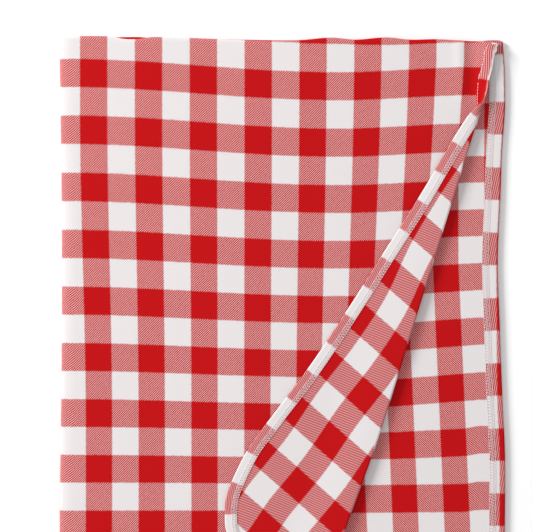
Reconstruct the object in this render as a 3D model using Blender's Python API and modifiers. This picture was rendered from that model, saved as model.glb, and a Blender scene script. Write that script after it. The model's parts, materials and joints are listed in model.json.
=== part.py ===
"""A checked, edge-bound table cover, folded in quarters, with its top corner turned back.

The cover is one woven panel. Folded across its length and then its width, it makes a pile of four
layers: two folds along the top edge, one fold inside another along one side, and hems elsewhere.
Every layer is a flat slab, every fold a half tube between two slabs, and the edging strip and its
stitching follow the hems.

Frame: metres, +X towards the side hem, +Y towards the folded top edge, +Z up, and the origin at
the middle of the base.
"""

import math

import bmesh
import bpy
from mathutils import Matrix, Vector

# Driving dimensions
PACK_WIDTH = 0.660  # side fold to side hem: half the cover's width
PACK_LENGTH = 0.880  # top fold to end hem: half the cover's length
CORNER_RADIUS = 0.140  # the cover's rounded corners, at the outer edge
CLOTH = 0.0005  # the woven panel's thickness
EDGING_PLY = 0.00035  # the edging strip's thickness
EDGING_WIDTH = 0.0140  # edging on the wrong side, from the outer edge to the stitching
EDGING_LIP = 0.0060  # edging that stands out past the panel's own edge
STITCHING_WIDTH = 0.0080  # the band of thread that covers the strip's inner edge
HEM_SETBACK = 0.0208  # how far the top layer's side hem lies inside the hems below it
CREASE_START = 0.0638  # top edge to the start of the turned corner, along the side hem
CREASE_ANGLE = math.radians(17.3)  # the crease's slant from the side hem
CORNER_LEAN = math.radians(1.2)  # how far the turned corner was pulled in before it was turned
CREASE_RADIUS = 0.0030  # the crease is a soft roll, so the turned corner stands this far off twice
LAYER_GAP = 0.0010  # air between one layer of the pile and the next
CLEARANCE = 0.0003  # between neighbouring pieces
ARC_STEPS = 14  # straight steps in a quarter of a round corner
FOLD_STEPS = 12  # straight steps round a fold

# One layer of the pile: the panel, and on its wrong side the edging strip
LAYER_HEIGHT = CLOTH + CLEARANCE + EDGING_PLY
LAYER_PITCH = LAYER_HEIGHT + LAYER_GAP

# The pile from the bottom up: the height of a layer's base, and whether its wrong side is up
BOTTOM = (0.0, True)
LOWER_INNER = (LAYER_PITCH, False)
UPPER_INNER = (2 * LAYER_PITCH, True)
TOP = (3 * LAYER_PITCH, False)
TURNED = (TOP[0] + LAYER_HEIGHT - CLOTH + 2 * CREASE_RADIUS, True)

COLLECTION = "folded_checked_table_cover"


def panel_middle(layer):
    """Height of the middle of the layer's woven panel."""
    base, wrong_side_up = layer
    return base + (CLOTH / 2 if wrong_side_up else LAYER_HEIGHT - CLOTH / 2)


def strip_middle(layer):
    """Height of the middle of the edging strip and of its stitching, on the layer's wrong side."""
    base, wrong_side_up = layer
    return base + (LAYER_HEIGHT - EDGING_PLY / 2 if wrong_side_up else EDGING_PLY / 2)


def between(layer, other):
    """Centre height and radius of a fold that joins two layers."""
    low, high = panel_middle(layer), panel_middle(other)
    return (low + high) / 2, (high - low) / 2


SIDE_FOLD_Z, OUTER_FOLD_RADIUS = between(BOTTOM, TOP)
INNER_FOLD_RADIUS = between(LOWER_INNER, UPPER_INNER)[1]
TOP_FOLD_RADIUS = between(BOTTOM, LOWER_INNER)[1]
CREASE_Z = between(TOP, TURNED)[0]

SIDE_FOLD_X = -PACK_WIDTH / 2 + OUTER_FOLD_RADIUS + CLOTH / 2
TOP_FOLD_Y = PACK_LENGTH / 2 - TOP_FOLD_RADIUS - CLOTH / 2
HEM_X = PACK_WIDTH / 2
TOP_HEM_X = HEM_X - HEM_SETBACK
END_Y = -PACK_LENGTH / 2
LEFT_X = SIDE_FOLD_X + CLEARANCE
UPPER_Y = TOP_FOLD_Y - CLEARANCE
PANEL_INSET = EDGING_LIP + CLEARANCE
STITCHING_INSET = EDGING_WIDTH + CLEARANCE

CREASE_TOP = Vector((TOP_HEM_X, PACK_LENGTH / 2 - CREASE_START))
CREASE_NORMAL = Vector((-math.cos(CREASE_ANGLE), math.sin(CREASE_ANGLE)))  # towards the top layer


# Outlines, as points in the plane of the table


def arc(centre, radius, start, end):
    """Points on an arc, both ends included, at angles in degrees."""
    steps = max(2, round(ARC_STEPS * abs(end - start) / 90))
    angles = [math.radians(start + (end - start) * i / steps) for i in range(steps + 1)]
    return [centre + radius * Vector((math.cos(a), math.sin(a))) for a in angles]


def round_hem(hem_x, top_y, left_x, inset):
    """Down a side hem, round the corner and along the end hem, inset from the outer edge."""
    centre = Vector((hem_x - CORNER_RADIUS, END_Y + CORNER_RADIUS))
    corner = arc(centre, CORNER_RADIUS - inset, 0, -90)
    return [Vector((hem_x - inset, top_y)), *corner, Vector((left_x, END_Y + inset))]


def full_hem(inset):
    """The hem of a layer that isn't turned back."""
    return round_hem(HEM_X, UPPER_Y, LEFT_X, inset)


def crease(offset=0.0, slant=CREASE_ANGLE):
    """The crease line, moved sideways by offset towards the top layer: a point and a direction."""
    normal = Vector((-math.cos(slant), math.sin(slant)))
    return CREASE_TOP + offset * normal, Vector((-math.sin(slant), -math.cos(slant)))


def at_x(line, x):
    """The point of a line at a given x."""
    start, direction = line
    return start + direction * ((x - start.x) / direction.x)


def at_y(line, y):
    """The point of a line at a given y."""
    start, direction = line
    return start + direction * ((y - start.y) / direction.y)


def top_side_hem(inset):
    """The short run of side hem between the top fold and the crease."""
    x = TOP_HEM_X - inset
    return [Vector((x, UPPER_Y)), at_x(crease(CLEARANCE), x)]


def top_end_hem(inset):
    """The top layer's end hem, from the crease to the side fold."""
    y = END_Y + inset
    return [at_y(crease(CLEARANCE), y), Vector((LEFT_X, y))]


def turned(point):
    """A point of the flat corner, pulled in about the crease's start and carried over the crease."""
    pulled = CREASE_TOP + Matrix.Rotation(-CORNER_LEAN, 2) @ (point - CREASE_TOP)
    return pulled - 2 * (pulled - CREASE_TOP).dot(CREASE_NORMAL) * CREASE_NORMAL


def turned_hem(inset):
    """The hem of the turned corner, where it lies at rest, from its end hem back to the crease."""
    line = crease(-CLEARANCE, CREASE_ANGLE - CORNER_LEAN)
    start = at_x(line, TOP_HEM_X - inset)
    end = at_y(line, END_Y + inset)
    return [turned(p) for p in round_hem(TOP_HEM_X, start.y, end.x, inset)][::-1]


# Blender helpers


def clear_scene():
    for obj in list(bpy.data.objects):
        bpy.data.objects.remove(obj, do_unlink=True)


def new_collection(name):
    """A collection of the object's own, in the scene."""
    collection = bpy.data.collections.new(name)
    bpy.context.scene.collection.children.link(collection)
    return collection


def material(name, colour, roughness):
    """A plain finish for one sub-part."""
    made = bpy.data.materials.new(name)
    made.use_nodes = True
    shader = made.node_tree.nodes["Principled BSDF"]
    shader.inputs["Base Color"].default_value = (*colour, 1.0)
    shader.inputs["Roughness"].default_value = roughness
    shader.inputs["Metallic"].default_value = 0.0
    return made


def add(name, data, place, parts, parent=None):
    """Links one sub-part, at a place given in the frame, under the empty of its joint if it has one."""
    obj = bpy.data.objects.new(name, data)
    parts.objects.link(obj)
    obj.location = place
    if parent:
        obj.parent = parent
        obj.matrix_parent_inverse = parent.matrix_world.inverted()
    return obj


def joint_empty(name, place, parts):
    """An empty on a joint's axis, which carries what turns on that joint."""
    empty = bpy.data.objects.new(name, None)
    parts.objects.link(empty)
    empty.matrix_world = Matrix.Translation(place)
    return empty


def polyline(name, points, closed):
    """A flat curve of straight runs."""
    curve = bpy.data.curves.new(name, "CURVE")
    curve.dimensions = "2D"
    spline = curve.splines.new("POLY")
    spline.points.add(len(points) - 1)
    for knot, point in zip(spline.points, points):
        knot.co = (point.x, point.y, 0.0, 1.0)
    spline.use_cyclic_u = closed
    return curve


def slab(name, outline, middle, thickness, finish, parts, parent=None):
    """A flat piece of cloth: a filled outline with thickness, lying level."""
    curve = polyline(name, outline, True)
    curve.fill_mode = "BOTH"
    curve.extrude = thickness / 2
    curve.materials.append(finish)
    return add(name, curve, Vector((0, 0, middle)), parts, parent)


def band(name, hem, near, far, middle, thickness, finish, parts, parent=None):
    """A flat strip that follows a hem between two insets from the outer edge."""
    outline = hem(near) + hem(far)[::-1]
    return slab(name, outline, middle, thickness, finish, parts, parent)


def edging(name, hem, layer, finish, parts, parent=None):
    """The strip on a hem: a lip beyond the panel's edge, and a ply over the panel's wrong side.

    Its section is lofted from hem to hem, because its ends are cut on the slant at the crease.
    """
    low, wrong_side_up = layer
    high = low + LAYER_HEIGHT
    face, wrong = (low, high) if wrong_side_up else (high, low)
    step = wrong + math.copysign(EDGING_PLY, face - wrong)
    corners = [(0, face), (0, wrong), (EDGING_WIDTH, wrong), (EDGING_WIDTH, step)]
    corners += [(EDGING_LIP, step), (EDGING_LIP, face)]
    shape = bmesh.new()
    rows = [[shape.verts.new((p.x, p.y, z)) for p in hem(inset)] for inset, z in corners]
    for row, after in zip(rows, rows[1:] + rows[:1]):
        for quad in zip(row, row[1:], after[1:], after):
            shape.faces.new(quad)
    shape.faces.new([row[0] for row in rows])
    shape.faces.new([row[-1] for row in rows])
    bmesh.ops.recalc_face_normals(shape, faces=shape.faces)
    data = bpy.data.meshes.new(name)
    shape.to_mesh(data)
    shape.free()
    data.materials.append(finish)
    return add(name, data, Vector((0, 0, 0)), parts, parent)


def half_tube(name, radius, start, end, across, finish, parts, parent=None):
    """A fold: half a tube of cloth from start to end, bulging towards across."""
    axis = end - start
    up = Vector((0, 0, 1))
    shape = bmesh.new()
    rim = []
    for i in range(FOLD_STEPS + 1):
        angle = math.pi * (i / FOLD_STEPS - 0.5)
        rim.append(shape.verts.new(radius * (math.cos(angle) * across + math.sin(angle) * up)))
    edges = [shape.edges.new(pair) for pair in zip(rim, rim[1:])]
    swept = bmesh.ops.extrude_edge_only(shape, edges=edges)["geom"]
    moved = [v for v in swept if isinstance(v, bmesh.types.BMVert)]
    bmesh.ops.translate(shape, verts=moved, vec=axis)
    bmesh.ops.recalc_face_normals(shape, faces=shape.faces)
    data = bpy.data.meshes.new(name)
    shape.to_mesh(data)
    shape.free()
    data.materials.append(finish)
    fold = add(name, data, start, parts, parent)
    wall = fold.modifiers.new("cloth", "SOLIDIFY")
    wall.thickness = CLOTH
    wall.offset = 0.0
    return fold


# Sub-parts


def panels(parts, upper, corner):
    """The flat regions of the woven panel."""
    red = (0.56, 0.012, 0.016)
    pink = (0.62, 0.20, 0.21)
    below = full_hem(PANEL_INSET) + [Vector((LEFT_X, UPPER_Y))]
    above = [
        *top_side_hem(PANEL_INSET),
        at_y(crease(CLEARANCE), END_Y + PANEL_INSET),
        Vector((LEFT_X, END_Y + PANEL_INSET)),
        Vector((LEFT_X, UPPER_Y)),
    ]
    for name, outline, layer, colour, parent in (
        ("bottom_layer", below, BOTTOM, red, None),
        ("lower_inner_layer", below, LOWER_INNER, pink, None),
        ("upper_inner_layer", below, UPPER_INNER, red, upper),
        ("top_layer", above, TOP, pink, upper),
        ("turned_corner", turned_hem(PANEL_INSET), TURNED, red, corner),
    ):
        finish = material(name, colour, 0.85)
        slab(name, outline, panel_middle(layer), CLOTH, finish, parts, parent)


def edgings(parts, upper, corner):
    """The edging strip along each run of hem, and its stitching."""
    for name, hem, layer, parent in (
        ("bottom", full_hem, BOTTOM, None),
        ("lower_inner", full_hem, LOWER_INNER, None),
        ("upper_inner", full_hem, UPPER_INNER, upper),
        ("top_side", top_side_hem, TOP, upper),
        ("top_end", top_end_hem, TOP, upper),
        ("turned_corner", turned_hem, TURNED, corner),
    ):
        strip = material(name + "_edging", (0.80, 0.62, 0.62), 0.85)
        thread = material(name + "_stitching", (0.86, 0.82, 0.82), 0.6)
        edging(name + "_edging", hem, layer, strip, parts, parent)
        far = STITCHING_INSET + STITCHING_WIDTH
        middle = strip_middle(layer)
        name += "_stitching"
        band(name, hem, STITCHING_INSET, far, middle, EDGING_PLY, thread, parts, parent)


def folds(parts, upper):
    """The folds of the woven panel: two along the top edge, two at the side, and the crease."""
    left = Vector((-1, 0, 0))
    away = Vector((0, 1, 0))
    for name, radius in (("outer_side_fold", OUTER_FOLD_RADIUS), ("inner_side_fold", INNER_FOLD_RADIUS)):
        start = Vector((SIDE_FOLD_X, END_Y, SIDE_FOLD_Z))
        end = Vector((SIDE_FOLD_X, UPPER_Y, SIDE_FOLD_Z))
        half_tube(name, radius, start, end, left, material(name, (0.7, 0.15, 0.16), 0.85), parts)
    for name, pair, hem_x, parent in (
        ("lower_top_fold", (BOTTOM, LOWER_INNER), HEM_X, None),
        ("upper_top_fold", (UPPER_INNER, TOP), TOP_HEM_X, upper),
    ):
        height, radius = between(*pair)
        start = Vector((LEFT_X, TOP_FOLD_Y, height))
        end = Vector((hem_x, TOP_FOLD_Y, height))
        finish = material(name, (0.7, 0.15, 0.16), 0.85)
        half_tube(name, radius, start, end, away, finish, parts, parent)
    start = CREASE_TOP.to_3d()
    end = at_y(crease(), END_Y + PANEL_INSET).to_3d()
    start.z = end.z = CREASE_Z
    away = -CREASE_NORMAL.to_3d()
    finish = material("crease_fold", (0.7, 0.15, 0.16), 0.85)
    half_tube("crease_fold", CREASE_RADIUS, start, end, away, finish, parts, upper)


def main():
    clear_scene()
    parts = new_collection(COLLECTION)
    upper = joint_empty("side_fold_axis", Vector((SIDE_FOLD_X, 0, SIDE_FOLD_Z)), parts)
    corner = joint_empty("crease_axis", Vector((*CREASE_TOP, CREASE_Z)), parts)
    corner.parent = upper
    corner.matrix_parent_inverse = upper.matrix_world.inverted()
    panels(parts, upper, corner)
    edgings(parts, upper, corner)
    folds(parts, upper)
    bpy.context.view_layer.update()


main()
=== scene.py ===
"""A checked, edge-bound table cover, folded in quarters, with its top corner turned back.

The cover is one woven panel. Its four layers, its folds and its turned corner are sheets that meet
where the cloth runs level. Edging strips wrap the hems, and a cover stitch of thread holds each
strip.

Frame: metres, +X towards the side hem, +Y towards the folded top edge, +Z up.
"""

import json
import math

import bmesh
import bpy
from bpy.props import FloatProperty, FloatVectorProperty, PointerProperty
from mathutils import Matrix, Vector, noise


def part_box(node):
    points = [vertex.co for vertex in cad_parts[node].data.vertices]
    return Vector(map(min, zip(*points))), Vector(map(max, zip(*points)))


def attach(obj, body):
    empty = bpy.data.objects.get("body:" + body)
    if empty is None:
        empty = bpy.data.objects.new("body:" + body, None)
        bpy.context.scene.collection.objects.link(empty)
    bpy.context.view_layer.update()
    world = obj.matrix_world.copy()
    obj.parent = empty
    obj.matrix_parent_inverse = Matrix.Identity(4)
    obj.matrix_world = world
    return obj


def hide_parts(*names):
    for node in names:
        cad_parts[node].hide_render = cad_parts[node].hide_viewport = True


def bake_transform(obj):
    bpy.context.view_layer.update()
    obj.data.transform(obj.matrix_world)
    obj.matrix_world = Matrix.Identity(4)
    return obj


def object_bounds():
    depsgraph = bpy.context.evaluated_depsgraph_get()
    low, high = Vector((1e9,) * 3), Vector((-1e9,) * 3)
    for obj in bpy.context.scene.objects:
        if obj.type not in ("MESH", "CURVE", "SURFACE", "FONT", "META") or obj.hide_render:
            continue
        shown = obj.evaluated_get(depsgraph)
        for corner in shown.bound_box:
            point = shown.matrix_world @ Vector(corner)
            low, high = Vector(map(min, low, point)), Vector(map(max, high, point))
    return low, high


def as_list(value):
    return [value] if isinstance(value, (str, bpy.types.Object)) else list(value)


bl_info = {
    "name": "Folded Checked Table Cover",
    "version": (1, 0, 0),
    "blender": (4, 5, 0),
    "location": "View3D > Sidebar > Table Cover",
    "description": "Makes the cloth, edging and stitching of a folded table cover",
    "category": "Object",
}

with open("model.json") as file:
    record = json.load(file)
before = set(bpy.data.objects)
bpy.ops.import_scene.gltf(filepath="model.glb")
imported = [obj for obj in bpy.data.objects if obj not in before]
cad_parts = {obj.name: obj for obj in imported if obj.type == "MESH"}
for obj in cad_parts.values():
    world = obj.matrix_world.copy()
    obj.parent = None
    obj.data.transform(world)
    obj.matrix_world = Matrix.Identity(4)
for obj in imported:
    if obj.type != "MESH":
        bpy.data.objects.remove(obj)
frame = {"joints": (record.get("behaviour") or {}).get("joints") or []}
CAD_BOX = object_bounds()
JOINTS = {joint["name"]: joint for joint in frame["joints"]}


def level(node):
    """Height of the middle of a flat node."""
    low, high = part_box(node)
    return (low.z + high.z) / 2


# Places worked out from the frame
BOTTOM_Z = level("bottom_layer")
LOWER_INNER_Z = level("lower_inner_layer")
UPPER_INNER_Z = level("upper_inner_layer")
TOP_Z = level("top_layer")
TURNED_Z = level("turned_corner")
LEFT = CAD_BOX[0].x
RIGHT = CAD_BOX[1].x
END = CAD_BOX[0].y
TOP_EDGE = CAD_BOX[1].y
CREASE_PLACE = Vector(JOINTS["corner_fold"]["pos_m"])
CREASE_DOWN = -Vector(JOINTS["corner_fold"]["axis"])
CREASE_OUT = Vector((-CREASE_DOWN.y, CREASE_DOWN.x, 0.0))
CREASE_SLANT = math.atan2(-CREASE_DOWN.x, -CREASE_DOWN.y)
ROLL = (TURNED_Z - TOP_Z) / 2
UP = Vector((0, 0, 1))

# The turned corner as it lies: its side hem from the crease, and its round corner
TURNED_HEM = (
    (0.2937, 0.3417),
    (0.2779, 0.3274),
    (0.2521, 0.2881),
    (0.2017, 0.2021),
    (0.1500, 0.1208),
    (0.0954, 0.0347),
    (0.0375, -0.0515),
    (-0.0220, -0.1304),
    (-0.0507, -0.1699),
    (-0.0749, -0.2177),
    (-0.0842, -0.2456),
    (-0.0856, -0.2668),
    (-0.0829, -0.2941),
    (-0.0601, -0.3415),
    (-0.0239, -0.3770),
)
TURNED_CHECK = Vector((-0.0335, -0.2052, 0.0))
TURNED_ACROSS = Vector((0.7528, -0.6582, 0.0))
TURNED_ALONG = Vector((-0.5603, -0.8283, 0.0))

# How far its columns and rows stray from straight lines, at rows counted from that check
TURNED_BOW = (
    (-11.5, -0.25),
    (-9.5, -0.12),
    (-7.5, 0.24),
    (-5.5, 0.28),
    (-3.5, 0.13),
    (-1.5, 0.11),
    (0.5, -0.09),
)
TURNED_DRIFT = (
    (-11.5, 0.50),
    (-9.5, 0.34),
    (-7.5, 0.18),
    (-5.5, 0.11),
    (-3.5, 0.05),
    (-1.5, 0.02),
    (0.5, -0.12),
)

# How steeply the rows of the layer below fall away from its hem: (place, slope) pairs
INNER_SLOPE = (
    (-0.2763, 0.000),
    (-0.2229, 0.005),
    (-0.1829, 0.035),
    (-0.1429, 0.045),
    (-0.1028, 0.072),
    (-0.0198, 0.070),
    (0.0633, 0.055),
    (0.1463, 0.029),
    (0.3169, 0.010),
)

# How the hems and the top edge wander: (place, distance) pairs
SIDE_HEM = (
    (-0.440, 0.3300),
    (-0.300, 0.3303),
    (-0.184, 0.3307),
    (-0.097, 0.3269),
    (0.007, 0.3230),
    (0.112, 0.3199),
    (0.191, 0.3233),
    (0.272, 0.3264),
    (0.338, 0.3307),
    (0.396, 0.3300),
    (0.4286, 0.3275),
    (0.440, 0.3262),
)
TOP_SILHOUETTE = (
    (-0.335, 0.4412),
    (-0.257, 0.4411),
    (-0.246, 0.4388),
    (-0.230, 0.4366),
    (-0.213, 0.4370),
    (-0.197, 0.4396),
    (-0.182, 0.4400),
    (-0.056, 0.4360),
    (0.024, 0.4355),
    (0.072, 0.4392),
    (0.108, 0.4362),
    (0.154, 0.4395),
    (0.189, 0.4362),
    (0.229, 0.4368),
    (0.270, 0.4345),
    (0.303, 0.4318),
    (0.322, 0.4300),
)
LOWER_FOLD_SILHOUETTE = (
    (-0.335, 0.4395),
    (-0.263, 0.4395),
    (-0.253, 0.4402),
    (-0.230, 0.4407),
    (-0.207, 0.4403),
    (-0.189, 0.4375),
    (-0.050, 0.4350),
    (0.174, 0.4350),
    (0.278, 0.4343),
    (0.300, 0.4352),
    (0.315, 0.4362),
    (0.327, 0.4350),
)
TOP_SIDE_HEM = (
    (0.340, 0.3050),
    (0.3703, 0.3052),
    (0.3911, 0.3103),
    (0.4089, 0.3135),
    (0.4207, 0.3155),
    (0.4262, 0.3188),
    (0.4300, 0.3200),
    (0.4340, 0.3200),
)
HEM_AT_CREASE = TOP_SIDE_HEM[1][0]  # where the top layer's hem meets the crease
HEM_TOP_GAP = 0.0115  # the top layer's edging starts this far below the top edge
CROSSING_STEPS = 8  # steps in which the edging goes over the crease

# How far the hem of each lower layer lies from SIDE_HEM
BOTTOM_SHIFT, LOWER_INNER_SHIFT, UPPER_INNER_SHIFT = -0.0020, 0.0002, -0.0008

PANEL_INSET = 0.0025  # the panel's edge, inside the edging's
TOP_LOOP = 0.006  # depth of the loops along the top edge
LOOP_ROWS = 10  # rows of points round each of those loops

# The inner side fold: where it starts, its depth, the cloth its checks count, and its flat width
INNER_SEAM, INNER_FOLD_DEPTH, INNER_FOLD_CLOTH, INNER_FOLD_FLAT = 0.009, 0.0052, 0.018, 0.0115

# Flat widths of the lower top fold, the crease and the turned corner
TOP_FOLD_FLAT, CREASE_FLAT, TURNED_FLAT = 0.0102, 0.0102, 0.235

# Beside the upper end of the crease: where the cloth starts to stand up, over what distance it
# rises, and the ridge and the valley that this draws into the top layer
STANDING_X, STANDING_Y = 0.282, 0.325
STANDING_RISE_X, STANDING_RISE_Y = 0.028, 0.040
RIDGE_X, VALLEY_X, RIDGE_SPREAD = 0.264, 0.280, 0.008

# The crease bends towards the side fold below a height, over a length
CREASE_BEND, BEND_START, BEND_LENGTH = 0.0074, -0.1295, 0.19

# The turned corner leaves its roll, falls over a reach, and rests this far above the top layer
FALL_START, FALL_REACH, RESTING_GAP = 0.004, 0.085, 0.0032

# Checks of the layer below and of the turned corner
INNER_CHECK_WIDTH = 0.03826
TURNED_CHECK_WIDTH, TURNED_CHECK_LENGTH = 0.03767, 0.04263

# The edging's own checks
FIRST_BLOCK_Y = 0.3432  # where the first whole block of the lower hems starts
TURNED_BOUNDARY = -0.0034  # how far past the edge the folded-back strip's checks change

# The twill: where a red line starts in its wave, how sharp its edges are, and its usual share
LINE_THRESHOLD, LINE_SLOPE, LINE_SHARE = 0.135, 5.0, 0.73
STRIPE_SLOPE = 22.0

FLOOR_Z = -0.0014
KEY_PLACE = Vector((-4.8, 2.6, 2.5))
KEY_SIZE = 1.8
VIEW_CENTRE = (-0.02373, 0.10037)


class CoverSizes(bpy.types.PropertyGroup):
    """Sizes of the cloth and of its folds."""

    check_width: FloatProperty(
        name="Check Width",
        description="One check, across the cover",
        default=0.04067,
        unit="LENGTH",
    )
    check_length: FloatProperty(
        name="Check Length", description="One check, down the cover", default=0.04187, unit="LENGTH"
    )
    cloth: FloatProperty(
        name="Cloth", description="Thickness of the woven panel", default=0.0005, unit="LENGTH"
    )
    ripple: FloatProperty(
        name="Ripple",
        description="How far the top layer rises and falls",
        default=0.0009,
        unit="LENGTH",
    )
    standing: FloatProperty(
        name="Standing Hem",
        description="How far the hem stands up at the crease's upper end",
        default=0.0050,
        unit="LENGTH",
    )
    fold_depth: FloatProperty(
        name="Fold Depth",
        description="Width of the soft roll at the side fold",
        default=0.020,
        unit="LENGTH",
    )
    corner: FloatProperty(
        name="Corner Radius",
        description="Radius of the round corners",
        default=0.140,
        unit="LENGTH",
    )
    spacing: FloatProperty(
        name="Spacing",
        description="Distance between points of a sheet",
        default=0.0055,
        unit="LENGTH",
    )


class EdgingSizes(bpy.types.PropertyGroup):
    """Sizes of the edging strip and of the stitching."""

    width: FloatProperty(
        name="Width", description="Edging on the wrong side", default=0.0225, unit="LENGTH"
    )
    turned_width: FloatProperty(
        name="Turned Width",
        description="Edging seen on the turned corner",
        default=0.0175,
        unit="LENGTH",
    )
    face_width: FloatProperty(
        name="Face Width", description="Edging on the face side", default=0.0165, unit="LENGTH"
    )
    puff: FloatProperty(
        name="Puff",
        description="How far the strip stands off the panel",
        default=0.0008,
        unit="LENGTH",
    )
    block: FloatProperty(
        name="Block", description="One check along the strip", default=0.0484, unit="LENGTH"
    )
    top_block: FloatProperty(
        name="Top Block",
        description="One check along the strip beside the top fold",
        default=0.0719,
        unit="LENGTH",
    )
    turned_block: FloatProperty(
        name="Turned Block",
        description="One check along the turned corner's strip",
        default=0.0501,
        unit="LENGTH",
    )
    band: FloatProperty(
        name="Band", description="Width of the cover stitch", default=0.0088, unit="LENGTH"
    )
    stitch: FloatProperty(
        name="Stitch", description="Length of one stitch", default=0.0044, unit="LENGTH"
    )
    thread: FloatProperty(
        name="Thread", description="Thickness of the thread", default=0.0007, unit="LENGTH"
    )


class CoverFinishes(bpy.types.PropertyGroup):
    """Colours of the yarns."""

    red: FloatVectorProperty(
        name="Red", description="Red yarn", default=(0.475, 0.0040, 0.0058), subtype="COLOR", size=3
    )
    white: FloatVectorProperty(
        name="White",
        description="White yarn",
        default=(0.715, 0.675, 0.68),
        subtype="COLOR",
        size=3,
    )
    thread: FloatVectorProperty(
        name="Thread",
        description="Sewing thread",
        default=(0.80, 0.74, 0.74),
        subtype="COLOR",
        size=3,
    )


class StageSizes(bpy.types.PropertyGroup):
    """The camera, the lights and the floor."""

    camera_height: FloatProperty(
        name="Camera Height", description="Camera above the top layer", default=2.0, unit="LENGTH"
    )
    view_width: FloatProperty(
        name="View Width",
        description="Width of what the camera sees",
        default=0.7905,
        unit="LENGTH",
    )
    key_power: FloatProperty(
        name="Key Power", description="Main light", default=440.0, unit="POWER"
    )
    fill: FloatProperty(name="Fill", description="Light from all round", default=0.66)
    floor_size: FloatProperty(
        name="Floor", description="Side of the floor", default=8.0, unit="LENGTH"
    )


def ease(t):
    """Smooth step from 0 to 1."""
    t = min(1.0, max(0.0, t))
    return t * t * (3 - 2 * t)


def swell(t):
    """From 0 to 1 along a quarter wave, squared."""
    return math.sin(math.pi / 2 * min(1.0, max(0.0, t))) ** 2


def half_wave(t):
    """From 0 up to 1 and back along half a wave."""
    return math.sin(math.pi * min(1.0, max(0.0, t)))


def through(knots, place):
    """A smooth value through (place, value) knots in rising order of place."""
    place = min(max(place, knots[0][0]), knots[-1][0])
    i = next((n for n in range(len(knots) - 2) if place < knots[n + 1][0]), len(knots) - 2)
    slopes = []
    for n in (i, i + 1):
        before, after = knots[max(n - 1, 0)], knots[min(n + 1, len(knots) - 1)]
        slopes.append((after[1] - before[1]) / (after[0] - before[0]))
    (x0, y0), (x1, y1) = knots[i], knots[i + 1]
    span = x1 - x0
    t = (place - x0) / span
    blend = t * t * (3 - 2 * t)
    return (
        y0 + (y1 - y0) * blend
        + span * slopes[0] * t * (1 - t) ** 2
        - span * slopes[1] * t * t * (1 - t)
    )


def sizes():
    return bpy.context.scene.cover_sizes


def trim():
    return bpy.context.scene.cover_edging


# Heights of the layers


def rise(x, y, seed, depth):
    """Soft waves in a layer of cloth."""
    broad = noise.noise(Vector((x * 5.0, y * 4.0, seed)))
    fine = noise.noise(Vector((x * 15.0, y * 11.0, seed + 7.0)))
    return depth * (0.85 * broad + 0.25 * fine)


def standing(x, y):
    """How far the cloth stands up at the upper end of the crease."""
    across = ease((x - STANDING_X) / STANDING_RISE_X)
    return sizes().standing * across * ease((y - STANDING_Y) / STANDING_RISE_Y)


def top_height(x, y):
    """The top layer, with a ridge and a valley where it starts to stand up."""
    ridge = math.exp(-(((x - RIDGE_X) / RIDGE_SPREAD) ** 2))
    valley = math.exp(-(((x - VALLEY_X) / RIDGE_SPREAD) ** 2))
    share = ease((y - STANDING_Y) / STANDING_RISE_Y)
    drawn = 1.8 * sizes().ripple * (ridge - 0.75 * valley) * share
    return TOP_Z + rise(x, y, 1.7, sizes().ripple) + standing(x, y) + drawn


def upper_inner_height(x, y):
    return UPPER_INNER_Z + rise(x, y, 4.1, 0.5 * sizes().ripple)


def lower_inner_height(x, y):
    return LOWER_INNER_Z + rise(x, y, 9.3, 0.15 * sizes().ripple)


def bottom_height(x, y):
    return BOTTOM_Z


# Outlines


def left_edge(y):
    """The outermost line of the side fold."""
    return LEFT - 0.0006 + 0.0033 * half_wave((0.4059 - y) / 0.6526)


def side_seam(y):
    """Where the level cloth meets the side fold."""
    return left_edge(y) + sizes().fold_depth


def inner_seam(y):
    """Where the two inner layers meet their side fold."""
    return left_edge(y) + INNER_SEAM


def crease_axis(along):
    """The axis of the crease's roll, at a distance along the crease from its joint."""
    point = CREASE_PLACE + CREASE_DOWN * along - CREASE_OUT * (ROLL * math.pi / 2)
    point.x -= CREASE_BEND * ease((BEND_START - point.y) / BEND_LENGTH)
    return point


def crease_x(y):
    """The crease's axis at a given y."""
    along = (CREASE_PLACE.y - y) / -CREASE_DOWN.y
    for _ in range(3):
        along += (crease_axis(along).y - y) / -CREASE_DOWN.y
    return crease_axis(along).x


HALF_TURN = math.pi * ROLL
CREASE_START = (CREASE_PLACE.y - HEM_AT_CREASE) / -CREASE_DOWN.y


def hem_crossing(out, inset):
    """Distance along the crease of a line inside the side hem, at a given distance out."""
    return CREASE_START + out / math.tan(CREASE_SLANT) + inset / math.sin(CREASE_SLANT)


def end_crossing(out, inset):
    """The same for a line inside the end hem."""
    foot = (CREASE_PLACE.y - END) / -CREASE_DOWN.y + 0.001
    return foot - out * math.tan(CREASE_SLANT) - inset / math.cos(CREASE_SLANT)


def roll_point(out, along, lift=0.0):
    """A point of the crease's roll, at a distance out from the axis on the flat cloth."""
    turn = out / ROLL
    outward = math.sin(turn) * CREASE_OUT - math.cos(turn) * UP
    point = crease_axis(along) + (ROLL + lift) * outward
    settle = top_height(point.x, point.y) - TOP_Z
    over = ease(turn / math.pi)
    point.z += settle * (1 - over) + standing(point.x, point.y) * over
    return point, outward


def turned_height(point):
    """The turned corner falls from the crease's roll to lie on the top layer at its hem."""
    reach = crease_x(point.y) - point.x
    resting = top_height(point.x, point.y) + RESTING_GAP
    fall = ease((reach - FALL_START) / FALL_REACH)
    wave = rise(point.x, point.y, 12.9, 0.0008) * fall
    upper = TURNED_Z + standing(point.x, point.y)
    return upper + (resting - upper) * fall + wave


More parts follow.
